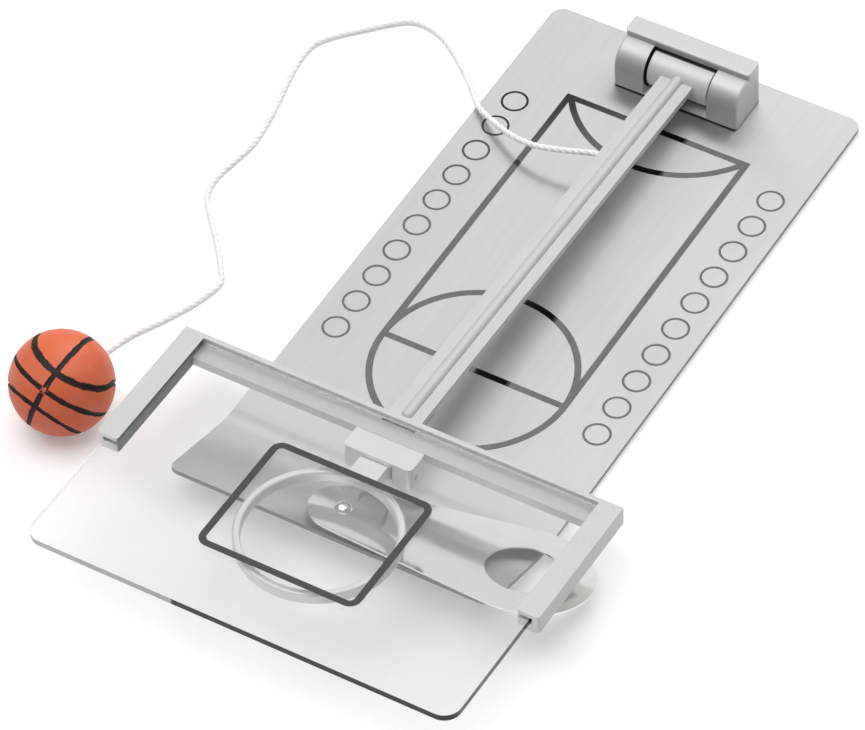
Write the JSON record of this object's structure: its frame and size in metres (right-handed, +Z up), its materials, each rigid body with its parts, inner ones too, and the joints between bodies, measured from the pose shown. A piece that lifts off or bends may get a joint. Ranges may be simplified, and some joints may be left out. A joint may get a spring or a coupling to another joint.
{
  "type": "tabletop basketball game",
  "caption": "Folding tabletop basketball game: steel court with a ramp, hinged post, clear framed backboard, folding hoop, springy flipper and a rubber ball on a cord.",
  "frame": {"origin": "on the table, halfway across the court and straight below the hinge axis, at the middle of the rear rubber strip's underside", "axes": "+Z up from the table, +Y to the rear along the court, away from the ramp, +X to the right"},
  "size_m": [0.1765, 0.2568, 0.0294],
  "materials": {
    "court_steel": "brushed lengthwise, black printed court lines",
    "strip_rubber": "matt",
    "cast_silver": "fine satin silver lacquer",
    "post_silver": "fine satin",
    "bright_steel": "bright plated",
    "washer_nylon": "matt",
    "clear_board": "clear, gloss, dark grey printed target line",
    "hoop_grey": "pale grey satin lacquer",
    "spring_steel": "polished spring steel",
    "ball_rubber": "satin orange with black seams",
    "white_cord": "twisted white cord"
  },
  "bodies": {
    "base": {"base_plate": "court_steel", "foot_pads": "strip_rubber", "hinge_block": "cast_silver", "block_screws": "bright_steel", "hinge_pin": "bright_steel", "friction_washers": "washer_nylon", "flipper_spacer": "bright_steel", "flipper_screw": "bright_steel", "flipper_nut": "bright_steel", "cord": "white_cord"},
    "upright": {"hinge_barrel": "cast_silver", "post": "post_silver", "post_screws": "bright_steel", "board_frame": "cast_silver", "backboard": "clear_board", "hoop_bracket": "hoop_grey", "bracket_screws": "bright_steel", "hoop_pin": "bright_steel"},
    "hoop": {"hoop_ring": "hoop_grey"},
    "flipper": {"flipper": "spring_steel"},
    "ball": {"ball": "ball_rubber"}
  },
  "joints": [
    {"name": "post_fold", "type": "hinge", "parent": "base", "child": "upright", "pos_m": [0, 0, 0.0089], "axis": [-1, 0, 0], "range_deg": [0, 55]},
    {"name": "hoop_fold", "type": "hinge", "parent": "upright", "child": "hoop", "pos_m": [0.001, -0.17039, 0.01272], "axis": [1, 0, 0], "range_deg": [0, 55]},
    {"name": "flipper_swivel", "type": "hinge", "parent": "base", "child": "flipper", "pos_m": [-0.0012, -0.1878, 0.00793], "axis": [0, -0.2957, -0.9553], "range_deg": [0, 96.3]},
    {"name": "ball_twist", "type": "hinge", "parent": "base", "child": "ball", "pos_m": [-0.0902, -0.1878, 0.0147], "axis": [-0.163, 0.7643, -0.6239], "continuous": true}
  ],
  "couplings": [
    {"joint": "hoop_fold", "follows": "post_fold", "ratio": 1},
    {"joint": "flipper_swivel", "follows": "post_fold", "ratio": 1.75}
  ]
}
